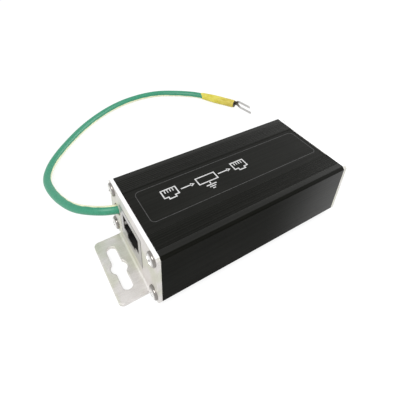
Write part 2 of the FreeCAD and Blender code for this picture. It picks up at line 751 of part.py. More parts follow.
# A chip resistor is a flat block whose two plated ends stand a little proud. There is one for each contact.
def make_resistors():
    body = new_body("chip_resistor")
    half = "resistor_length / 2"
    cap = "resistor_length / 6"
    step = "resistor_height / 12"
    profile = new_sketch(body, "XZ_Plane")
    add_polygon(profile, [
        ("-" + half, "0"), ("-%s + %s" % (half, cap), "0"), ("-%s + %s" % (half, cap), step),
        ("%s - %s" % (half, cap), step), ("%s - %s" % (half, cap), "0"), (half, "0"),
        (half, "resistor_height"), ("%s - %s" % (half, cap), "resistor_height"),
        ("%s - %s" % (half, cap), "resistor_height - " + step),
        ("-%s + %s" % (half, cap), "resistor_height - " + step),
        ("-%s + %s" % (half, cap), "resistor_height"), ("-" + half, "resistor_height"),
    ])
    add_pad(body, profile, "resistor_width", way="Symmetric")
    places = []
    for i in range(CONTACTS):
        across = "%g * (resistor_width + part_spacing)" % (i - (CONTACTS - 1) / 2)
        places.append((NO_TURN, ("resistor_row_x", across, BOARD_TOP)))
    return group("decoupling_resistors", body, places)


# The earth wire rises from its solder joint beside the first socket, leaves through the hole in the
# plate, comes down to the surface and sweeps round behind the box to its fork.
WIRE_ROUTE = [
    (-13.5, 9.2, 7.0),
    (-19.6, 11.9, 8.9),
    (-26.4, 12.0, 11.5),
    (-33.2, 11.7, 13.2),
    (-39.4, 12.9, 13.3),
    (-44.8, 16.8, 12.0),
    (-49.0, 23.6, 9.4),
    (-51.7, 32.5, 6.7),
    (-53.6, 41.8, 4.3),
    (-53.7, 50.4, 2.6),
    (-50.7, 58.0, 1.8),
    (-45.2, 65.0, 1.65),
    (-38.5, 72.1, 1.65),
    (-31.0, 78.8, 1.65),
    (-22.8, 84.4, 1.65),
    (-13.9, 88.8, 1.65),
    (-4.7, 92.0, 1.65),
    (4.4, 93.9, 1.65),
    (13.3, 93.7, 1.65),
    (21.7, 91.1, 1.65),
    (27.6, 87.4, 1.75),
    (32.6, 83.7, 2.05),
    (36.4, 78.75, 2.4),
    (42.1, 68.9, 2.95),
]


def tube_path(points):
    """Straight runs joined by tangent arcs, each as large as its two runs allow."""
    spots = [FreeCAD.Vector(*p) for p in points]
    edges = []
    radii = []
    at = spots[0]
    for before, corner, after in zip(spots, spots[1:], spots[2:]):
        back = before - corner
        ahead = after - corner
        turn = math.pi - back.getAngle(ahead)
        trim = 0.45 * min(back.Length, ahead.Length)
        radius = trim / math.tan(turn / 2)
        start = corner + back.normalize() * trim
        stop = corner + ahead.normalize() * trim
        inner = back + ahead
        middle = corner + inner.normalize() * (radius / math.cos(turn / 2) - radius)
        edges.append(Part.LineSegment(at, start).toShape())
        edges.append(Part.Arc(start, middle, stop).toShape())
        radii.append(round(radius, 1))
        at = stop
    edges.append(Part.LineSegment(at, spots[-1]).toShape())
    return Part.Wire(edges), radii


def make_wire():
    path, radii = tube_path(WIRE_ROUTE)
    start = FreeCAD.Vector(*WIRE_ROUTE[0])
    heading = FreeCAD.Vector(*WIRE_ROUTE[1]) - start
    radius = size("wire_diameter") / 2
    section = Part.Wire([Part.Circle(start, heading, radius).toShape()])
    solid = path.makePipeShell([section], True, True)
    print("wire radii", radii)
    print("wire length %.1f, volume over section x length %.4f"
          % (path.Length, solid.Volume / (math.pi * radius ** 2 * path.Length)))
    wire = doc.addObject("Part::Feature", "earth_wire")
    wire.Label = "earth_wire"
    wire.Shape = solid
    return wire


def frame_at(origin, heading, roll=0.0):
    """A placement whose X axis points along a heading, with its Y axis level until it rolls about X."""
    x = FreeCAD.Vector(heading).normalize()
    y = FreeCAD.Vector(0, 0, 1).cross(x).normalize()
    z = x.cross(y)
    turn = FreeCAD.Rotation(x, y, z, "XYZ")
    return FreeCAD.Placement(origin, turn.multiply(FreeCAD.Rotation(FreeCAD.Vector(1, 0, 0), roll)))


# The bare strands go on from the wire's inner end and lie in a mound of solder on the board.
def make_solder_joint():
    start = FreeCAD.Vector(*WIRE_ROUTE[0])
    heading = start - FreeCAD.Vector(*WIRE_ROUTE[1])
    core = doc.addObject("Part::Cylinder", "bare_strands")
    core.setExpression("Radius", cells("core_diameter / 2"))
    core.setExpression("Height", cells("core_length"))
    core.Placement = FreeCAD.Placement(start, FreeCAD.Rotation(FreeCAD.Vector(0, 0, 1), heading))
    middle = start + heading.normalize() * (size("core_length") / 2)
    mound = doc.addObject("Part::Cone", "solder_mound")
    mound.setExpression("Radius1", cells("solder_radius"))
    mound.setExpression("Radius2", cells("core_diameter / 2 + part_gap"))
    mound.Placement.Base = FreeCAD.Vector(middle.x, middle.y, 0)
    mound.setExpression("Placement.Base.z", cells(BOARD_TOP))
    mound.setExpression("Height", "%g - (%s)" % (middle.z, cells(BOARD_TOP)))
    joint = doc.addObject("Part::Fuse", "earth_solder_joint")
    joint.Label = "earth_solder_joint"
    joint.Base = core
    joint.Tool = mound
    return joint


# The sleeve grips the wire behind and the crimped barrel in front. Its X = 0 is its front end.
def make_sleeve(place):
    body = new_body("terminal_sleeve")
    profile = new_sketch(body, "XZ_Plane")
    wire_bore = "(wire_diameter / 2 + sleeve_slack)"
    barrel_bore = "(barrel_diameter / 2 + part_gap)"
    add_polygon(profile, [
        ("-sleeve_length", wire_bore),
        ("-sleeve_length + sleeve_lap", wire_bore),
        ("-sleeve_length + sleeve_lap", barrel_bore),
        ("0", barrel_bore),
        ("0", "sleeve_radius - sleeve_lip"),
        ("-sleeve_lip", "sleeve_radius"),
        ("-sleeve_length + sleeve_taper", "sleeve_radius"),
        ("-sleeve_length", wire_bore + " + sleeve_edge"),
    ])
    add_turned(body, profile, "H_Axis")
    body.Placement = place
    return body


# The fork is one pressed piece: the closed barrel, and a forked tongue that is bent down past its neck.
# The terminal rests on one edge of its tongue, so the whole piece is rolled about the sleeve's axis.
def make_fork(place):
    root = "fork_collar / 4"
    side_view = new_body("fork_side_view")
    strip = new_sketch(side_view, "XZ_Plane")
    add_polygon(strip, [
        (root, "fork_rise"), ("fork_bend_start", "fork_rise"),
        ("fork_length", "fork_rise - fork_drop"), ("fork_length", "fork_rise - fork_drop + fork_thickness"),
        ("fork_bend_start", "fork_rise + fork_thickness"), (root, "fork_rise + fork_thickness"),
    ])
    add_pad(side_view, strip, "2 * fork_width", way="Symmetric")
    plan_view = new_body("fork_plan_view")
    height = "4 * (fork_drop + fork_thickness)"
    throat = "fork_throat + fork_slot / 2"
    neck = new_sketch(plan_view, "XY_Plane")
    add_box(neck, root, throat, "-fork_neck / 2", "fork_neck / 2")
    add_pad(plan_view, neck, height, way="Symmetric")
    yoke = new_sketch(plan_view, "XY_Plane")
    add_circle(yoke, throat, "0", "fork_width")
    add_pad(plan_view, yoke, height, way="Symmetric")
    prongs = new_sketch(plan_view, "XY_Plane")
    add_polygon(prongs, [
        (throat, "-fork_width / 2"),
        ("fork_length - fork_tip_corner", "-fork_width / 2"),
        ("fork_length", "-fork_width / 2 + fork_tip_corner"),
        ("fork_length", "fork_width / 2 - fork_tip_corner"),
        ("fork_length - fork_tip_corner", "fork_width / 2"),
        (throat, "fork_width / 2"),
    ])
    add_pad(plan_view, prongs, height, way="Symmetric")
    gap = new_sketch(plan_view, "XY_Plane")
    add_box(gap, throat, "fork_length + fork_tip_corner", "-fork_slot / 2", "fork_slot / 2")
    add_pocket(plan_view, gap)
    gap_root = new_sketch(plan_view, "XY_Plane")
    add_circle(gap_root, throat, "0", "fork_slot")
    add_pocket(plan_view, gap_root)
    tongue = doc.addObject("Part::Common", "fork_tongue")
    tongue.Base = side_view
    tongue.Tool = plan_view
    barrel = doc.addObject("Part::Cylinder", "fork_barrel")
    barrel.setExpression("Radius", cells("barrel_diameter / 2"))
    barrel.setExpression("Height", cells("sleeve_length - sleeve_lap + fork_collar"))
    barrel.Placement.Rotation = FreeCAD.Rotation(FreeCAD.Vector(0, 0, 1), FreeCAD.Vector(1, 0, 0))
    barrel.setExpression("Placement.Base.x", cells("-(sleeve_length - sleeve_lap)"))
    fork = doc.addObject("Part::Fuse", "fork_terminal")
    fork.Label = "fork_terminal"
    fork.Base = tongue
    fork.Tool = barrel
    fork.Placement = place
    return fork


screw = make_screw()
last = FreeCAD.Vector(*WIRE_ROUTE[-1])
ahead = (last - FreeCAD.Vector(*WIRE_ROUTE[-2])).normalize()
sleeve_front = last + ahead * (size("sleeve_length") - size("sleeve_lap"))
terminal_place = frame_at(sleeve_front, ahead, size("fork_roll"))

pieces = [
    make_housing(),
    make_end_plate("input_end_plate", "-1", True),
    make_end_plate("output_end_plate", "1", False),
    make_plate_screws("input_plate_screws", screw, "-1"),
    make_plate_screws("output_plate_screws", screw, "1"),
    make_board(),
    make_film(),
]
for port, side in (("input", "-1"), ("output", "1")):
    pieces.append(make_jack_shield(port + "_jack_shield", side))
    pieces.append(make_jack_moulding(port + "_jack_moulding", side))
    pieces.append(make_jack_carrier(port + "_jack_carrier", side))
    pieces.append(make_jack_contacts(port + "_jack_contacts", side))
pieces.extend([
    make_tubes(),
    make_diodes(),
    make_resistors(),
    make_wire(),
    make_solder_joint(),
    make_sleeve(terminal_place),
    make_fork(terminal_place),
])
doc.recompute()

for thing in doc.Objects:
    if "Invalid" in thing.State or "Error" in thing.State:
        raise ValueError("%s is in state %s" % (thing.Name, thing.State))
os.makedirs("parts", exist_ok=True)
for piece in pieces:
    if piece.Shape.isNull() or not piece.Shape.isValid():
        raise ValueError("%s has no valid shape" % piece.Label)
    piece.Shape.exportStep("parts/%s.step" % piece.Label)
    box = piece.Shape.BoundBox
    print("%-24s solids %2d volume %9.2f  X %7.2f %7.2f  Y %7.2f %7.2f  Z %6.2f %6.2f"
          % (piece.Label, len(piece.Shape.Solids), piece.Shape.Volume,
             box.XMin, box.XMax, box.YMin, box.YMax, box.ZMin, box.ZMax))
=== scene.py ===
# %% [markdown]
# # A network surge protector and its earth wire
# The real object is a black anodised aluminium extrusion, closed by two folded sheet plates that each
# hold a shielded network socket. A green and yellow earth wire leaves one plate and ends in a sleeved
# fork terminal. The packed model already gives every rigid piece its exact form and place, so this
# lesson is about light, finish, the print on the lid, and what a solid modeller draws stiffly: a soft
# wire, a soft sleeve and small screws.

# %% Load the packed frame
import math

import bmesh
import bpy
from mathutils import Matrix, Vector


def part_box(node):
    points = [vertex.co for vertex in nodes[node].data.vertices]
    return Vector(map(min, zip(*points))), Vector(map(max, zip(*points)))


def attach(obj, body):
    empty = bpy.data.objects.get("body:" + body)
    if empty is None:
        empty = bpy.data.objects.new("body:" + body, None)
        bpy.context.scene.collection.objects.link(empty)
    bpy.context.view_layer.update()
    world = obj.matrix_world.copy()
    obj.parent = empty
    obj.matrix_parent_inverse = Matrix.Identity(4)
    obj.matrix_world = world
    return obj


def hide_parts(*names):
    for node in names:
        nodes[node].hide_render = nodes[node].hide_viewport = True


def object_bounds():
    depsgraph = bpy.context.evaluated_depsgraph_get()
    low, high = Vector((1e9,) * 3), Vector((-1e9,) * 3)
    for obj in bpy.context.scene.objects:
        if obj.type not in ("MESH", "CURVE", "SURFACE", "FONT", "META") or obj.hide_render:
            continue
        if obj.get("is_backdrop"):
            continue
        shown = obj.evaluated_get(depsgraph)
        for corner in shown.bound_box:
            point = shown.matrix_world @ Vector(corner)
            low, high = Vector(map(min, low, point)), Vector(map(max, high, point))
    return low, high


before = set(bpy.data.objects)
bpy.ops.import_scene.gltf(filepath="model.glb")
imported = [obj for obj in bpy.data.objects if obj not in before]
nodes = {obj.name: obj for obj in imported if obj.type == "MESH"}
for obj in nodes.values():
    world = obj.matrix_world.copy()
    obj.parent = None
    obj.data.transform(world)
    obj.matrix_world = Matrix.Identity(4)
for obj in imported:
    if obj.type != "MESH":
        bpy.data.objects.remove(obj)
cad_box = [list(corner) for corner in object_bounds()]
MM = 0.001
print("nodes in the frame:", len(nodes))

# %% [markdown]
# ## Camera
# The viewpoint was worked out from the eight corners of the box in the photograph, so it is written as
# a place, two angles and a lens. Aiming at the object by eye would be quicker, but the slant of the
# edges would then be a little wrong everywhere. The picture was cropped below the lens's own axis,
# which is what the vertical shift stands for, and a small roll finishes the match.

# %% Camera
CAMERA_PLACE = Vector((-59.62, -69.57, 105.71)) * MM
CAMERA_TURN = math.radians(-33.32)
CAMERA_RISE = math.radians(35.0)
CAMERA_ROLL = math.radians(2.548)
LENS_PIXELS = 358.39
PHOTO_SIDE = 400.0
SENSOR = 36.0

camera_data = bpy.data.cameras.new("camera")
camera_data.sensor_width = SENSOR
camera_data.lens = LENS_PIXELS * SENSOR / PHOTO_SIDE
camera_data.shift_x = -0.0003
camera_data.shift_y = -0.1887
camera_data.clip_start = 0.005
camera_data.clip_end = 20.0
camera = bpy.data.objects.new("camera", camera_data)
bpy.context.scene.collection.objects.link(camera)

level = math.cos(CAMERA_RISE)
backwards = Vector((math.sin(CAMERA_TURN) * level, -math.cos(CAMERA_TURN) * level, math.sin(CAMERA_RISE)))
aim = (-backwards).to_track_quat("-Z", "Y").to_matrix() @ Matrix.Rotation(CAMERA_ROLL, 3, "Z")
camera.matrix_world = Matrix.Translation(CAMERA_PLACE) @ aim.to_4x4()
bpy.context.scene.camera = camera
print("lens %.1f mm, shift %.3f" % (camera_data.lens, camera_data.shift_y))

# %% [markdown]
# ## Writing shaders as sums
# A finish is easier to read as arithmetic than as a web of nodes. A Signal wraps one output socket, so
# `1 - mask` or `grain * 0.2 + 0.4` adds the right nodes by itself: Math nodes for plain values, Vector
# Math for positions and Mix for colours. Every other node comes from one method, which takes the node's
# type, its settings and what goes into its sockets.

# %% Shader signals
class Signal:
    """One output of a node tree, with Python's operators."""

    def __init__(self, tree, socket=None):
        self.tree = tree
        self.socket = socket

    def node(self, kind, settings=None, sockets=None, output=0):
        """Any node: its type, its settings first, then values or links for its sockets."""
        made = self.tree.nodes.new(kind)
        for name, value in (settings or {}).items():
            setattr(made, name, value)
        for name, value in (sockets or {}).items():
            if isinstance(value, Signal):
                self.tree.links.new(value.socket, made.inputs[name])
            else:
                made.inputs[name].default_value = value
        return Signal(self.tree, made.outputs[output] if made.outputs else None)

    def combine(self, operation, first, second):
        """Adds the node that suits this signal: Vector Math, Mix or Math."""
        if self.socket.type == "VECTOR":
            pair = [(side,) * 3 if isinstance(side, (int, float)) else side for side in (first, second)]
            return self.node("ShaderNodeVectorMath", {"operation": operation}, {0: pair[0], 1: pair[1]})
        if self.socket.type == "RGBA":
            pair = [grey(side) if isinstance(side, (int, float)) else side for side in (first, second)]
            settings = {"data_type": "RGBA", "blend_type": operation}
            return self.node("ShaderNodeMix", settings, {0: 1.0, 6: pair[0], 7: pair[1]}, 2)
        return self.node("ShaderNodeMath", {"operation": operation}, {0: first, 1: second})

    def __add__(self, other):
        return self.combine("ADD", self, other)

    def __radd__(self, other):
        return self.combine("ADD", other, self)

    def __sub__(self, other):
        return self.combine("SUBTRACT", self, other)

    def __rsub__(self, other):
        return self.combine("SUBTRACT", other, self)

    def __mul__(self, other):
        return self.combine("MULTIPLY", self, other)

    def __rmul__(self, other):
        return self.combine("MULTIPLY", other, self)

    def __abs__(self):
        return self.node("ShaderNodeMath", {"operation": "ABSOLUTE"}, {0: self})

    def ramp(self, low, high, start=0.0, end=1.0):
        """Goes smoothly from start to end while the value goes from low to high."""
        settings = {"interpolation_type": "SMOOTHSTEP"}
        sockets = {"Value": self, "From Min": low, "From Max": high, "To Min": start, "To Max": end}
        return self.node("ShaderNodeMapRange", settings, sockets)

    def tint(self, low, high):
        """A colour that goes from low to high while the value goes from 0 to 1."""
        return self.node("ShaderNodeMix", {"data_type": "RGBA"}, {0: self, 6: low, 7: high}, 2)

    def noise(self, scale, detail=3.0):
        """Soft random patches over a position, so many to the millimetre."""
        return self.node("ShaderNodeTexNoise", None, {"Vector": self, "Scale": scale, "Detail": detail})


print("a signal knows", ", ".join(name for name in vars(Signal) if not name.startswith("__")))


# %% Neutral colours
def grey(value, warmth=0.0):
    """A neutral colour, or one that leans to red as its warmth grows."""
    return (value * (1 + warmth), value, value * (1 - warmth), 1.0)


print("a warm mid grey:", grey(0.5, 0.02))

# %% [markdown]
# ## Starting and ending a finish
# Each finish has one Principled shader. What is the same all over is set on the shader's own sockets,
# and what changes over the surface comes in as a signal. The position is the model's own, in
# millimetres, so a grain has its true size and stays put when the object moves. Cut metal is never
# quite sharp, so a small bevel in the normal catches the light along each edge: it costs less than
# rounding every edge of the mesh, and looks the same from a step away.

# %% Finish helpers
def start_finish(name):
    """A new material and the model's own position in millimetres."""
    material = bpy.data.materials.new(name)
    material.use_nodes = True
    material.node_tree.nodes.clear()
    tree = Signal(material.node_tree)
    place = tree.node("ShaderNodeTexCoord", output="Object") * (1 / MM)
    return material, place


def end_finish(material, place, sockets, bump, bump_depth, edge=0.0):
    """Joins values and signals to the Principled shader, with a bump and soft edges in millimetres."""
    relief = {"Height": bump, "Distance": bump_depth * MM}
    if edge:
        relief["Normal"] = place.node("ShaderNodeBevel", {"samples": 6}, {"Radius": edge * MM})
    sockets = dict(sockets, Normal=place.node("ShaderNodeBump", None, relief))
    shader = place.node("ShaderNodeBsdfPrincipled", None, sockets)
    place.node("ShaderNodeOutputMaterial", None, {"Surface": shader})
    return material


def dress(material, *names):
    """Gives the finish to nodes that come straight from the packed model."""
    for name in names:
        slots = nodes[name].data.materials
        slots.clear()
        slots.append(material)
    print(material.name, "on", ", ".join(names))


print("finish helpers ready")

# %% [markdown]
# ## Black anodised extrusion
# Anodising leaves aluminium a soft black with a faint silky sheen. The die leaves streaks that run the
# length of the box, and the etching before the dye leaves a fine grain. Plain black paint would be a
# flat colour, so here the grain and the streaks move the colour, the sheen and the normal a little. The
# dyed layer is porous and swallows light, and its sheen is the clear seal on top, so the shader has a
# weak coat. One coat for the whole box would show every zone alike, so its strength is set zone by zone:
# it shines least in the channel and between the ribs. On top of that comes painted reflection: the coat
# is stronger on the far row of ribs than on the near one, and along the walls and chamfers it grows from
# the input end to the output end, standing in for the shaded and lit floor that these faces mirror.

# %% Zones of the seal, with painted reflection
CHANNEL_HALF = 9.25
RIBS_END = 15.0
LID_HALF = 16.9
LID_FOOT = 21.95


def seal_zones_and_painted_reflection(place):
    """How strongly each zone shines: the side walls, then the lid's channel, ribs, rims and chamfers.
    The ramps along the walls and chamfers and across the ribs are painted reflection.
    """
    along, across, height = [place.node("ShaderNodeSeparateXYZ", None, {0: place}, axis) for axis in "XYZ"]
    channel, rim = 0.56, 1.0
    # painted reflection: the chamfers and walls shine more towards the output end, the ribs more on the far
    # row
    chamfer = along.ramp(0.0, 40.0, 0.06, 0.42)
    ribs = across.ramp(-12.0, 12.0, 0.40, 0.72)
    wall = along.ramp(0.0, 45.0, 0.09, 1.0)
    across = abs(across)
    lid = across.ramp(CHANNEL_HALF - 0.1, CHANNEL_HALF + 0.1, channel, ribs)
    lid = lid + across.ramp(RIBS_END - 0.1, RIBS_END + 0.1, 0.0, rim - ribs)
    lid = lid + across.ramp(LID_HALF - 0.05, LID_HALF + 0.25, 0.0, chamfer - rim)
    return (lid - wall) * height.ramp(LID_FOOT - 0.2, LID_FOOT + 0.2) + wall


print("channel to %.2f mm, ribs to %.1f mm, rim to %.1f mm" % (CHANNEL_HALF, RIBS_END, LID_HALF))


# %% Black anodised finish
def black_anodised():
    material, place = start_finish("black_anodised")
    streak = (place * (0.02, 2.2, 2.2)).noise(1.0, 4.0)
    grain = place.noise(4.0, 2.0)
    cloud = place.noise(0.06, 2.0)
    mixed = streak * 0.5 + grain * 0.3 + cloud * 0.2
    return end_finish(material, place, {
        "Base Color": mixed.ramp(0.38, 0.62).tint((0.0036, 0.0038, 0.0026, 1), (0.0074, 0.0077, 0.0060, 1)),
        "Roughness": 0.6,
        "Specular IOR Level": 0.02,
        "Coat Weight": seal_zones_and_painted_reflection(place) * mixed.ramp(0.35, 0.65, 0.93, 1.07),
        "Coat IOR": 1.30,
        "Coat Roughness": 0.34,
    }, mixed, 0.012, edge=0.14)


dress(black_anodised(), "housing")

# %% [markdown]
# ## Sheet, shield and contact metals
# The end plates are clear anodised sheet: pale, satin and a little uneven, with cooler and warmer
# patches a few millimetres wide and a rolling grain across the fold. The top edge is painted near white
# as a highlight, where its softly rounded edge catches the light, by a mask on the height without
# another slot. Tinned, gilt and soldered metals differ from the sheet only in colour and gloss, so one
# function makes them all.

# %% Satin sheet
def satin_sheet():
    material, place = start_finish("satin_sheet")
    rolled = (place * (0.3, 3.0, 0.3)).noise(1.0, 3.0)
    grain = place.noise(3.5, 3.0)
    patch = place.noise(0.11, 2.0)
    tone = rolled * 0.35 + grain * 0.35 + patch * 0.3
    olive = tone.ramp(0.35, 0.65).tint((0.60, 0.595, 0.51, 1), (0.72, 0.715, 0.64, 1))
    rosy = tone.ramp(0.35, 0.65).tint((0.635, 0.61, 0.58, 1), (0.77, 0.745, 0.73, 1))
    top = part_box("input_end_plate")[1].z / MM
    # painted highlight: the top edge of the sheet is made near white
    painted_top_highlight = place.node("ShaderNodeSeparateXYZ", None, {0: place}, "Z").ramp(top - 0.15, top - 0.05)
    return end_finish(material, place, {
        "Base Color": painted_top_highlight.tint(patch.ramp(0.42, 0.58).tint(olive, rosy), grey(0.95)),
        "Roughness": tone.ramp(0.35, 0.65, 0.42, 0.54),
        "Metallic": 0.8,
    }, grain * 0.6 + rolled * 0.4, 0.008, edge=0.38)


dress(satin_sheet(), "input_end_plate", "output_end_plate")


# %% Other metals and plastics
def bright_metal(name, dark, light, smooth, rough, metallic=1.0):
    """A plated or soldered metal that is smooth in some patches and rough in others."""
    material, place = start_finish(name)
    mottle = place.noise(2.5, 3.0)
    return end_finish(material, place, {
        "Base Color": mottle.ramp(0.3, 0.7).tint(dark, light),
        "Roughness": mottle.ramp(0.3, 0.7, smooth, rough),
        "Metallic": metallic,
    }, mottle, 0.01, edge=0.08)


def moulded(name, dark, light, rough, coat=0.0):
    """A moulded or glazed surface with a fine grain."""
    material, place = start_finish(name)
    grain = place.noise(4.0, 3.0)
    return end_finish(material, place, {
        "Base Color": grain.ramp(0.3, 0.7).tint(dark, light),
        "Roughness": grain.ramp(0.3, 0.7, rough - 0.05, rough + 0.05),
        "Coat Weight": coat,
    }, grain, 0.015, edge=0.08)


print("bright metals and moulded plastics ready")

# %% Dress the sockets, board and parts
dress(bright_metal("shield_tin", grey(0.46, 0.02), grey(0.58, 0.02), 0.34, 0.46),
      "input_jack_shield", "output_jack_shield")
dress(bright_metal("contact_gilt", (0.72, 0.46, 0.14, 1), (0.86, 0.60, 0.22, 1), 0.18, 0.3),
      "input_jack_contacts", "output_jack_contacts")
dress(bright_metal("solder", grey(0.55), grey(0.7), 0.2, 0.35), "earth_solder_joint")
dress(moulded("socket_plastic", grey(0.008), grey(0.014), 0.45),
      "input_jack_moulding", "output_jack_moulding", "input_jack_carrier", "output_jack_carrier")
dress(moulded("board_mask", (0.01, 0.09, 0.03, 1), (0.015, 0.13, 0.045, 1), 0.3, 0.3), "circuit_board")
dress(moulded("film", grey(0.6, 0.03), grey(0.7, 0.03), 0.4), "insulating_film")
dress(moulded("tube_glaze", grey(0.65, 0.02), grey(0.78, 0.02), 0.3, 0.3), "gas_discharge_tubes")
dress(moulded("diode_case", grey(0.012), grey(0.025), 0.5), "transient_diodes")
dress(moulded("resistor_glaze", grey(0.01), grey(0.02), 0.35), "decoupling_resistors")

# %% [markdown]
# ## Meshes from rings
# A screw, a sleeve and a wire are all rings of points joined by quads. One function joins the rings,
# and another turns the result into a piece that rides on the object. Surfaces are smooth, except where
# two faces meet at more than a given angle.

# %% Rings and skin
def ring(middle, side, up, radius, count, first=0.0):
    """Points round a middle, in the plane of two unit directions. The radius may be a function."""
    points = []
    for k in range(count):
        angle = first + 2 * math.pi * k / count
        reach = radius(angle) if callable(radius) else radius
        points.append(middle + (side * math.cos(angle) + up * math.sin(angle)) * reach)
    return points


def skin(mesh, rings, round_trip=False):
    """Joins rings with quads. The ends are closed, or joined to each other on a round trip."""
    made = [[mesh.verts.new(point) for point in points] for points in rings]
    count = len(made[0])
    pairs = list(zip(made, made[1:]))
    if round_trip:
        pairs.append((made[-1], made[0]))
    else:
        mesh.faces.new(list(reversed(made[0])))
        mesh.faces.new(made[-1])
    for before, after in pairs:
        for k in range(count):
            mesh.faces.new((before[k], before[(k + 1) % count], after[(k + 1) % count], after[k]))
    return made


square = ring(Vector((0, 0, 0)), Vector((1, 0, 0)), Vector((0, 1, 0)), 1.0, 4)
print("a ring of four:", [tuple(round(value, 3) for value in point) for point in square])


# %% Riding pieces
def make_piece(mesh, name, material, sharp=40.0):
    """A riding object from a bmesh, in metres."""
    bmesh.ops.recalc_face_normals(mesh, faces=mesh.faces[:])
    data = bpy.data.meshes.new(name)
    mesh.to_mesh(data)
    mesh.free()
    data.shade_smooth()
    data.set_sharp_from_angle(angle=math.radians(sharp))
    data.materials.append(material)
    piece = bpy.data.objects.new(name, data)
    bpy.context.scene.collection.objects.link(piece)
    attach(piece, "root")
    print("%s: %d faces" % (name, len(data.polygons)))
    return piece


print("pieces can ride")

# %% [markdown]
# ## Pan head screws
# The packed screws have a bevelled head and a plain shank. A real pan head is domed, its cross recess
# narrows towards the bottom, and its shank has a rolled thread. The head and shank are turned from one
# profile, with the thread as a ripple that climbs once round in each pitch, and a boolean then cuts the
# recess. Each screw stops at another angle, as screws do. The colour follows the height: the crown is
# painted bright as a highlight, and the foot and the recess are painted dark as shade, since a head this
# small looks flat without them.

# %% Screw sizes
HEAD_RADIUS = 2.4
HEAD_HEIGHT = 1.15
HEAD_RIM = 0.3
DOME_STEPS = 8
DOME_FULLNESS = 0.75
RECESS_DEPTH = 0.75
RECESS_FOOT = (0.50, 0.20)
RECESS_MOUTH = (1.50, 0.44)
SHANK_RADIUS = 1.0
THREAD_DEPTH = 0.1
THREAD_PITCH = 0.45
RINGS_PER_PITCH = 5
SCREW_SEGMENTS = 24
print("head %.1f mm across, thread %.2f mm" % (2 * HEAD_RADIUS, THREAD_PITCH))


# %% Screw shape
def screw_rings(length):
    """Rings of a screw along X, from its tip to its crown, with the seat at X = 0."""
    y, z = Vector((0, 1, 0)), Vector((0, 0, 1))
    rings = []
    steps = int(length / THREAD_PITCH * RINGS_PER_PITCH)
    for i in range(steps + 1):
        x = -length + (length - 0.05) * i / steps

        def ripple(angle, x=x):
            climb = (x / THREAD_PITCH + angle / (2 * math.pi)) % 1.0
            taper = min(1.0, (x + length + 0.3) / 0.8)
            return (SHANK_RADIUS + THREAD_DEPTH * math.cos(2 * math.pi * climb)) * taper
        rings.append(ring(Vector((x, 0, 0)), y, z, ripple, SCREW_SEGMENTS))
    rings.append(ring(Vector((0, 0, 0)), y, z, SHANK_RADIUS, SCREW_SEGMENTS))
    rings.append(ring(Vector((0, 0, 0)), y, z, HEAD_RADIUS, SCREW_SEGMENTS))
    for i in range(DOME_STEPS + 1):
        turn = math.pi / 2 * i / DOME_STEPS
        reach = HEAD_RADIUS * max(0.05, math.cos(turn) ** DOME_FULLNESS)
        rise = HEAD_RIM + (HEAD_HEIGHT - HEAD_RIM) * math.sin(turn)
        rings.append(ring(Vector((rise, 0, 0)), y, z, reach, SCREW_SEGMENTS))
    return rings


print("screw profile of %d rings" % len(screw_rings(8.0)))


# %% Cross recess
def recess_cutter(mesh, turn):
    """Two crossed wedges that narrow from the crown down."""
    top, bottom = HEAD_HEIGHT + 0.2, HEAD_HEIGHT - RECESS_DEPTH
    corners = [(1, 1), (-1, 1), (-1, -1), (1, -1)]
    for quarter in (0.0, math.pi / 2):
        angle = turn + quarter
        along = Vector((0, math.cos(angle), math.sin(angle)))
        across = Vector((0, -math.sin(angle), math.cos(angle)))
        rings = []
        for x, (long_half, wide_half) in ((bottom, RECESS_FOOT), (top, RECESS_MOUTH)):
            rings.append([Vector((x, 0, 0)) + along * (long_half * a) + across * (wide_half * b)
                          for a, b in corners])
        skin(mesh, rings)


def cut_mesh(base, cutter):
    """The mesh of one object less another, as a boolean modifier gives it."""
    holders = []
    for name, mesh in (("base", base), ("cutter", cutter)):
        bmesh.ops.recalc_face_normals(mesh, faces=mesh.faces[:])
        data = bpy.data.meshes.new(name)
        mesh.to_mesh(data)
        holder = bpy.data.objects.new(name, data)
        bpy.context.scene.collection.objects.link(holder)
        holders.append(holder)
    cut = holders[0].modifiers.new("recess", "BOOLEAN")
    cut.object = holders[1]
    cut.use_self = True
    cut_base = holders[0].evaluated_get(bpy.context.evaluated_depsgraph_get())
    result = bpy.data.meshes.new_from_object(cut_base)
    for holder in holders:
        bpy.data.objects.remove(holder)
    return result


print("recess %.2f mm deep" % RECESS_DEPTH)


# %% Nickel plating
def nickel_plating():
    """Nickel with a painted highlight on the crown, and painted shade at the foot and down in the recess.
    """
    material, place = start_finish("screw_nickel")
    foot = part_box("output_plate_screws")[1].x / MM - HEAD_HEIGHT
    mottle = place.noise(2.5, 3.0)
    # painted highlight and shade: bright on the crown, dark at the foot and in the recess
    rise = abs(place.node("ShaderNodeSeparateXYZ", None, {0: place}, "X")) + mottle * 0.2 - foot - 0.1
    return end_finish(material, place, {
        "Base Color": rise.ramp(0.68, 1.08).tint(grey(0.26, 0.06), grey(0.88, 0.01)),
        "Roughness": mottle.ramp(0.3, 0.7, 0.10, 0.2),
        "Metallic": 1.0,
    }, mottle, 0.01, edge=0.05)


screw_nickel = nickel_plating()
print(screw_nickel.name, "made of", len(screw_nickel.node_tree.nodes), "nodes")

# %% Place the screws
FIRST_TURN = 25.0
TURN_STEP = 37.0


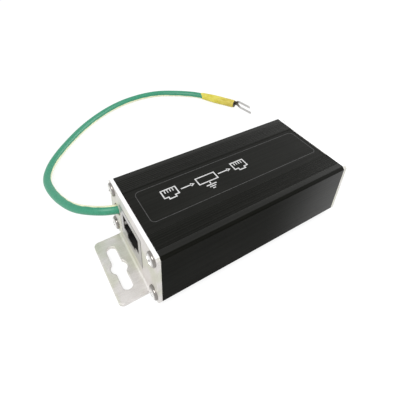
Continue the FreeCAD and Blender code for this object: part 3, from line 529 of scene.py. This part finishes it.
def make_screws(name, node, side, material):
    """Four screws where the packed model has them. Their heads point along X times the side."""
    low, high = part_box(node)
    near, far = (low.x, high.x) if side < 0 else (high.x, low.x)
    seat = near / MM - side * HEAD_HEIGHT
    length = abs(far / MM - seat)
    mesh = bmesh.new()
    spots = [(y, z) for y in (low.y / MM + HEAD_RADIUS, high.y / MM - HEAD_RADIUS)
             for z in (low.z / MM + HEAD_RADIUS, high.z / MM - HEAD_RADIUS)]
    for i, (y, z) in enumerate(spots):
        base, cutter = bmesh.new(), bmesh.new()
        skin(base, screw_rings(length))
        recess_cutter(cutter, math.radians(FIRST_TURN + TURN_STEP * i))
        data = cut_mesh(base, cutter)
        turn = Matrix.Rotation(0 if side > 0 else math.pi, 4, "Z")
        data.transform(Matrix.Scale(MM, 4) @ Matrix.Translation((seat, y, z)) @ turn)
        mesh.from_mesh(data)
    piece = make_piece(mesh, name, material, sharp=30.0)
    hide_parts(node)


make_screws("input_screws", "input_plate_screws", -1, screw_nickel)
make_screws("output_screws", "output_plate_screws", 1, screw_nickel)

# %% [markdown]
# ## Print on the lid
# The lid's channel carries a thin light frame and some print. Here the print is a generic wiring
# diagram: a socket, an arrow, a protector with its earth sign, an arrow and a socket. Ink could be a
# mask in the lid's shader, but a mask has to be drawn very fine to keep a hairline sharp, so each
# stroke is a flat slab of ink a few hundredths of a millimetre thick, which stays sharp from near by.

# %% Ink strokes
INK_THICKNESS = 0.02
CHANNEL_DEPTH = 0.35
PRINT_MIDDLE_X, PRINT_MIDDLE_Y = 0.8, 0.85
lid_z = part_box("housing")[1].z / MM - CHANNEL_DEPTH


def slab(mesh, outline):
    """A thin flat slab of ink on the channel's floor."""
    low = [mesh.verts.new(Vector((x, y, lid_z)) * MM) for x, y in outline]
    high = [mesh.verts.new(Vector((x, y, lid_z + INK_THICKNESS)) * MM) for x, y in outline]
    mesh.faces.new(low[::-1])
    mesh.faces.new(high)
    for k in range(len(outline)):
        nxt = (k + 1) % len(outline)
        mesh.faces.new((low[k], low[nxt], high[nxt], high[k]))


def stroke(mesh, points, width, closed=False):
    """A line of even width through the points, mitred at its corners."""
    spots = [Vector(point) for point in points]
    count = len(spots)
    left, right = [], []
    for k, spot in enumerate(spots):
        before = spots[k - 1] if closed or k else spot
        after = spots[(k + 1) % count] if closed or k < count - 1 else spot
        headings = [(b - a).normalized() for a, b in ((before, spot), (spot, after)) if (b - a).length]
        normals = [Vector((-heading.y, heading.x)) for heading in headings]
        mitre = sum(normals, Vector((0, 0))).normalized()
        mitre *= width / 2 / mitre.dot(normals[0])
        left.append(spot + mitre)
        right.append(spot - mitre)
    last = count if closed else count - 1
    for k in range(last):
        nxt = (k + 1) % count
        slab(mesh, [right[k], right[nxt], left[nxt], left[k]])


print("ink lies at %.2f mm" % lid_z)

# %% Frame line
FRAME_HALF_LONG, FRAME_HALF_WIDE, FRAME_CORNER = 33.5, 6.75, 1.6
FRAME_LINE = 0.18


def rounded_corners(half_long, half_wide, radius, steps=6):
    """The outline of a rounded rectangle round the print's middle."""
    points = []
    for corner, (a, b) in enumerate(((1, 1), (-1, 1), (-1, -1), (1, -1))):
        for i in range(steps + 1):
            angle = math.pi / 2 * (corner + i / steps)
            points.append((PRINT_MIDDLE_X + a * (half_long - radius) + radius * math.cos(angle),
                           PRINT_MIDDLE_Y + b * (half_wide - radius) + radius * math.sin(angle)))
    return points


def ink(name, dark, light):
    """Screen ink, a little thin in places."""
    material, place = start_finish(name)
    thin = place.noise(1.8, 3.0)
    return end_finish(material, place, {
        "Base Color": thin.ramp(0.35, 0.55).tint(dark, light),
        "Roughness": thin.ramp(0.3, 0.7, 0.45, 0.6),
    }, thin, 0.004)


frame_mesh = bmesh.new()
stroke(frame_mesh, rounded_corners(FRAME_HALF_LONG, FRAME_HALF_WIDE, FRAME_CORNER), FRAME_LINE, closed=True)
make_piece(frame_mesh, "lid_frame_line", ink("frame_ink", grey(0.03), grey(0.07)))

# %% Wiring diagram
LINE = 0.42


def socket_sign(mesh, x, y):
    """A keyed socket outline with four contact strokes."""
    stroke(mesh, [(x - 2.6, y - 1.2), (x - 1.2, y - 1.2), (x - 1.2, y - 2.1), (x + 1.2, y - 2.1),
                  (x + 1.2, y - 1.2), (x + 2.6, y - 1.2), (x + 2.6, y + 2.1), (x - 2.6, y + 2.1)],
           LINE, closed=True)
    for k in range(4):
        across = x + (k - 1.5) * 0.95
        stroke(mesh, [(across, y + 1.9), (across, y + 0.6)], LINE * 0.8)


def arrow_sign(mesh, start, stop, y):
    stroke(mesh, [(start, y), (stop - 1.0, y)], LINE)
    slab(mesh, [(stop - 1.5, y - 0.75), (stop, y), (stop - 1.5, y + 0.75)])


def earth_sign(mesh, x, y):
    for k, half_wide in enumerate((1.9, 1.2, 0.5)):
        stroke(mesh, [(x - half_wide, y - 0.85 * k), (x + half_wide, y - 0.85 * k)], LINE)


diagram = bmesh.new()
row_y = PRINT_MIDDLE_Y + 1.2
socket_sign(diagram, -22.6, row_y)
arrow_sign(diagram, -18.8, -13.6, row_y)
stroke(diagram, [(-12.6, row_y - 1.5), (-5.4, row_y - 1.5), (-5.4, row_y + 1.5), (-12.6, row_y + 1.5)],
       LINE, closed=True)
stroke(diagram, [(-9.0, row_y - 1.5), (-9.0, row_y - 3.1)], LINE)
earth_sign(diagram, -9.0, row_y - 3.1)
arrow_sign(diagram, -4.4, 0.8, row_y)
socket_sign(diagram, 4.6, row_y)
make_piece(diagram, "lid_diagram", ink("white_ink", grey(0.5), grey(0.72)))

# %% [markdown]
# ## Earth wire
# A wire keeps its length and bends in one smooth line. The points below are its route, and a NURBS
# spline passes near them without corners. The insulation is a green tube with a yellow stripe. The
# stripe starts on top at the plate, rolls over to the inside of the loop and then under it, so the tube
# is swept by hand: each ring knows which way is inwards, and writes how far round the stripe it is to
# an attribute that the finish reads.

# %% Wire route
ROUTE = [
    (-13.5, 9.2, 7.0),
    (-19.6, 11.9, 8.9),
    (-26.4, 12.0, 11.5),
    (-33.2, 11.7, 13.2),
    (-39.4, 12.9, 13.3),
    (-44.6, 17.2, 12.0),
    (-48.9, 23.5, 9.4),
    (-51.7, 32.0, 6.7),
    (-53.4, 41.4, 4.3),
    (-53.5, 50.1, 2.6),
    (-50.6, 57.9, 1.8),
    (-45.4, 65.1, 1.65),
    (-38.6, 72.0, 1.65),
    (-30.9, 78.9, 1.65),
    (-22.4, 84.8, 1.65),
    (-13.4, 89.6, 1.65),
    (-4.4, 92.7, 1.65),
    (4.4, 93.85, 1.65),
    (12.3, 93.6, 1.65),
    (19.0, 91.8, 1.65),
    (24.6, 88.6, 1.75),
    (30.2, 84.5, 2.05),
    (36.4, 78.75, 2.4),
    (42.1, 68.9, 2.95),
]
WIRE_RADIUS = 1.6
LOOP_MIDDLE = Vector((-8.0, 55.0, 0.0))
UP = Vector((0, 0, 1))


def centre_line(name, route):
    """Points along a NURBS spline that follows the route, in millimetres, read from the curve itself."""
    curve = bpy.data.curves.new(name, "CURVE")
    curve.dimensions = "3D"
    curve.resolution_u = 12
    spline = curve.splines.new("NURBS")
    spline.points.add(len(route) - 1)
    for point, spot in zip(spline.points, route):
        point.co = (*spot, 1.0)
    spline.order_u = 3
    spline.use_endpoint_u = True
    holder = bpy.data.objects.new(name, curve)
    bpy.context.scene.collection.objects.link(holder)
    bpy.context.view_layer.update()
    mesh = bpy.data.meshes.new_from_object(holder)
    line = [vertex.co.copy() for vertex in mesh.vertices]
    bpy.data.objects.remove(holder)
    bpy.data.meshes.remove(mesh)
    return line


wire_line = centre_line("earth_wire_line", ROUTE)

# %% Wire tube
STRIPE_LEAN = [(0.00, 50.0), (0.20, 50.0), (0.38, -12.0), (0.56, -33.0), (0.72, -40.0), (1.00, -58.0)]


def lean_at(share):
    """How far the stripe leans up from the inside of the loop, at a share of the wire's length."""
    for (start, first), (stop, second) in zip(STRIPE_LEAN, STRIPE_LEAN[1:]):
        if share <= stop:
            along = (share - start) / (stop - start)
            return math.radians(first + (second - first) * along * along * (3 - 2 * along))
    return math.radians(STRIPE_LEAN[-1][1])


def sweep_wire(line, radius, count=32):
    """A round tube along the line, with the stripe's cosine kept at every vertex."""
    mesh = bmesh.new()
    stripe = mesh.verts.layers.float.new("stripe_turn")
    rings, leans = [], []
    for i, spot in enumerate(line):
        ahead = (line[min(i + 1, len(line) - 1)] - line[max(i - 1, 0)]).normalized()
        side = ahead.cross(UP).normalized()
        up = side.cross(ahead).normalized()
        inward = 1 if (LOOP_MIDDLE - spot).dot(side) > 0 else -1
        lean = lean_at(i / (len(line) - 1))
        leans.append(lean if inward > 0 else math.pi - lean)
        rings.append([point * MM for point in ring(spot, side, up, radius, count)])
    for points, lean in zip(skin(mesh, rings), leans):
        for k, vertex in enumerate(points):
            vertex[stripe] = math.cos(2 * math.pi * k / count - lean)
    return mesh


print("stripe leans %.0f degrees at the plate" % math.degrees(lean_at(0.0)))


# %% Wire insulation
def wire_insulation():
    material, place = start_finish("wire_insulation")
    turned = place.node("ShaderNodeAttribute", {"attribute_name": "stripe_turn"}, output="Fac")
    waver = place.noise(0.35, 2.0).ramp(0.3, 0.7, -0.04, 0.04)
    stripe = (turned + waver).ramp(0.73, 0.80)
    grain = place.noise(2.0, 3.0)
    green = grain.ramp(0.3, 0.7).tint((0.028, 0.245, 0.138, 1), (0.042, 0.305, 0.180, 1))
    yellow = grain.ramp(0.3, 0.7).tint((0.86, 0.87, 0.55, 1), (0.92, 0.92, 0.66, 1))
    return end_finish(material, place, {
        "Base Color": stripe.tint(green, yellow),
        "Roughness": grain.ramp(0.3, 0.7, 0.34, 0.44),
    }, grain, 0.02)


wire = make_piece(sweep_wire(wire_line, WIRE_RADIUS), "earth_wire_insulation", wire_insulation())
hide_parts("earth_wire")

# %% [markdown]
# ## Terminal sleeve
# The sleeve is soft vinyl pushed over the crimp. It is a little slack at its mouth, swells over the
# crimped barrel, and shows the two dents that the crimping tool left through it. A tube turned by a
# formula would be too regular, so the rings go along the outside and back through the bore, and the
# outside's radius follows a short list of places with the dents added as a squeeze from two sides.

# %% Sleeve sizes
SLEEVE_LENGTH = 20.1
SLEEVE_LAP = 10.0
SLEEVE_ROLL = math.radians(-62.0)
SLEEVE_BORE = 1.66
SLEEVE_OUTSIDE = [(0.0, 1.74), (0.03, 1.80), (0.12, 1.90), (0.28, 2.10), (0.42, 2.2), (0.60, 2.2),
                  (0.72, 2.12), (0.85, 2.16), (0.96, 2.10), (0.99, 2.0), (1.0, 1.88)]
DENT_PLACE, DENT_LENGTH, DENT_DEPTH = 0.70, 0.10, 0.16

end_heading = (Vector(ROUTE[-1]) - Vector(ROUTE[-2])).normalized()
sleeve_back = Vector(ROUTE[-1]) - end_heading * SLEEVE_LAP
print("sleeve %.1f mm long, from" % SLEEVE_LENGTH, [round(value, 1) for value in sleeve_back])


# %% Sleeve shape
def between(table, share):
    """A value read from a table of places and numbers, on straight lines between them."""
    for (start, first), (stop, second) in zip(table, table[1:]):
        if share <= stop:
            return first + (second - first) * (share - start) / (stop - start)
    return table[-1][1]


def sleeve_mesh(steps=60, count=40):
    side = Matrix.Rotation(SLEEVE_ROLL, 3, end_heading) @ UP.cross(end_heading).normalized()
    up = end_heading.cross(side)
    rings = []
    for i in range(steps + 1):
        share = i / steps
        dent = DENT_DEPTH * math.exp(-((share - DENT_PLACE) / DENT_LENGTH) ** 2)
        reach = between(SLEEVE_OUTSIDE, share)
        rings.append(ring(sleeve_back + end_heading * (SLEEVE_LENGTH * share), side, up,
                          lambda angle: reach - dent * math.cos(angle) ** 4, count))
    for share in (1.0, 0.5, 0.0):
        middle = sleeve_back + end_heading * (SLEEVE_LENGTH * share)
        rings.append(ring(middle, side, up, SLEEVE_BORE, count))
    mesh = bmesh.new()
    skin(mesh, [[point * MM for point in points] for points in rings], round_trip=True)
    return mesh


print("outside radius at the dents: %.2f mm" % (between(SLEEVE_OUTSIDE, DENT_PLACE) - DENT_DEPTH))


# %% Terminal sleeve
def sleeve_vinyl():
    """Yellow vinyl that darkens to ochre where the crimp presses it."""
    material, place = start_finish("sleeve_vinyl")
    along = place.node("ShaderNodeVectorMath", {"operation": "DOT_PRODUCT"},
                       {0: place - tuple(sleeve_back), 1: tuple(end_heading)}, output="Value")
    ochre = along.ramp(8.0, 19.0)
    patch = place.noise(0.35, 2.0)
    clear = patch.ramp(0.3, 0.7).tint((0.66, 0.57, 0.050, 1), (0.77, 0.69, 0.115, 1))
    pressed = patch.ramp(0.3, 0.7).tint((0.52, 0.41, 0.05, 1), (0.68, 0.56, 0.09, 1))
    return end_finish(material, place, {
        "Base Color": ochre.tint(clear, pressed),
        "Roughness": patch.ramp(0.3, 0.7, 0.34, 0.46),
    }, place.noise(1.2, 3.0), 0.03)


sleeve = make_piece(sleeve_mesh(), "terminal_sleeve_vinyl", sleeve_vinyl())
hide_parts("terminal_sleeve")

# %% [markdown]
# ## Fork terminal
# The fork is stamped from tinned copper and crimped, so its form comes straight from the packed model.
# Its tin is bright on the flat prongs and dark brown at the neck, next to the sleeve's mouth, by a mask
# that fades along the wire's own direction.

# %% Fork finish
def fork_tin():
    material, place = start_finish("fork_tin")
    along = place.node("ShaderNodeVectorMath", {"operation": "DOT_PRODUCT"},
                       {0: place - tuple(sleeve_back), 1: tuple(end_heading)}, output="Value")
    mottle = place.noise(2.5, 3.0)
    # darker brown towards the neck, next to the sleeve's mouth
    neck_darkening = (along + mottle * 1.2).ramp(SLEEVE_LENGTH + 2.6, SLEEVE_LENGTH + 4.4, 1.0, 0.0)
    tin = mottle.ramp(0.3, 0.7).tint(grey(0.40, 0.02), grey(0.56, 0.02))
    brown = mottle.ramp(0.3, 0.7).tint((0.055, 0.045, 0.03, 1), (0.13, 0.11, 0.08, 1))
    return end_finish(material, place, {
        "Base Color": neck_darkening.tint(tin, brown),
        "Roughness": mottle.ramp(0.3, 0.7, 0.26, 0.42),
        "Metallic": 1.0,
    }, mottle, 0.01, edge=0.12)


dress(fork_tin(), "fork_terminal")

# Its length is read from the photograph, which shows all of it outside the box, and the short run
# inside to the board is a guess.

# %% [markdown]
# ## Floor and light
# The photograph has a white ground with hardly any shadow. The floor is therefore white to the camera
# and in reflections, but part of its light is real diffuse light, so the object still darkens it where
# it stands. The world is an even dome, and two soft lamps stand clear of the lid's mirror direction, one
# to the left and a little in front, one to the right. They shape the end plate and the wire, while the
# black lid shows the plain dome in its sheen and the near side stays in the shade.

# %% Rays that see white
def seen_directly(tree):
    """One for rays that come from the camera, a reflection or a clear piece, and zero for the rest."""
    kinds = ("Is Camera Ray", "Is Glossy Ray", "Is Transmission Ray")
    camera_ray, glossy_ray, clear_ray = [tree.node("ShaderNodeLightPath", output=kind) for kind in kinds]
    return camera_ray + glossy_ray + clear_ray


print("white for camera, glossy and transmission rays")

# %% Floor
FLOOR_PAINT = 0.22
FLOOR_GLOW = 0.84


def pale_floor():
    """White to the eye, with a share of real paint in it that the object's shadow can darken."""
    material = bpy.data.materials.new("pale_floor")
    material.use_nodes = True
    material.node_tree.nodes.clear()
    tree = Signal(material.node_tree)
    paint = tree.node("ShaderNodeBsdfDiffuse", None, {"Color": grey(FLOOR_PAINT)})
    glow = tree.node("ShaderNodeEmission", None, {"Color": grey(1.0), "Strength": FLOOR_GLOW})
    white = tree.node("ShaderNodeAddShader", None, {0: paint, 1: glow})
    plain = tree.node("ShaderNodeBsdfDiffuse", None, {"Color": grey(0.9)})
    both = tree.node("ShaderNodeMixShader", None, {0: seen_directly(tree), 1: plain, 2: white})
    tree.node("ShaderNodeOutputMaterial", None, {"Surface": both})
    return material


FLOOR_HALF = 4.0
FLOOR_DROP = 0.1
floor_data = bpy.data.meshes.new("floor")
floor_corners = [(a * FLOOR_HALF, b * FLOOR_HALF, -FLOOR_DROP * MM)
                 for a, b in ((-1, -1), (1, -1), (1, 1), (-1, 1))]
floor_data.from_pydata(floor_corners, [], [(0, 1, 2, 3)])
floor_data.materials.append(pale_floor())
floor = bpy.data.objects.new("floor", floor_data)
bpy.context.scene.collection.objects.link(floor)
floor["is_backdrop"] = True
print("floor %.0f m wide, %.1f mm below the object" % (2 * FLOOR_HALF, FLOOR_DROP))

# %% World and lamps
world = bpy.data.worlds.new("studio")
world.use_nodes = True
world.node_tree.nodes.clear()
sky = Signal(world.node_tree)
dome = sky.node("ShaderNodeBackground", None, {"Color": grey(1.0), "Strength": 0.5})
backdrop = sky.node("ShaderNodeBackground", None, {"Color": grey(1.0), "Strength": 1.0})
both = sky.node("ShaderNodeMixShader", None, {0: seen_directly(sky), 1: dome, 2: backdrop})
sky.node("ShaderNodeOutputWorld", None, {"Surface": both})
bpy.context.scene.world = world


def lamp(name, place, side, watts):
    """A square soft lamp that faces the object."""
    data = bpy.data.lights.new(name, "AREA")
    data.size = side
    data.energy = watts
    piece = bpy.data.objects.new(name, data)
    piece.location = place
    piece.rotation_euler = (-Vector(place)).to_track_quat("-Z", "Y").to_euler()
    bpy.context.scene.collection.objects.link(piece)


lamp("left_lamp", (-0.44, -0.20, 0.54), 0.40, 3.1)
lamp("right_lamp", (0.62, 0.0, 0.38), 0.40, 2.4)
bpy.context.scene.view_settings.view_transform = "Standard"
print("lamps ready")

# The box of the packed model and the box of the dressed model are written side by side, so that the
# two can be compared after each render.

# %% Sizes and finish
shown_box = [list(corner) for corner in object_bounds()]
for name, box in (("cad", cad_box), ("shown", shown_box)):
    print(name, [[round(value / MM, 2) for value in corner] for corner in box])
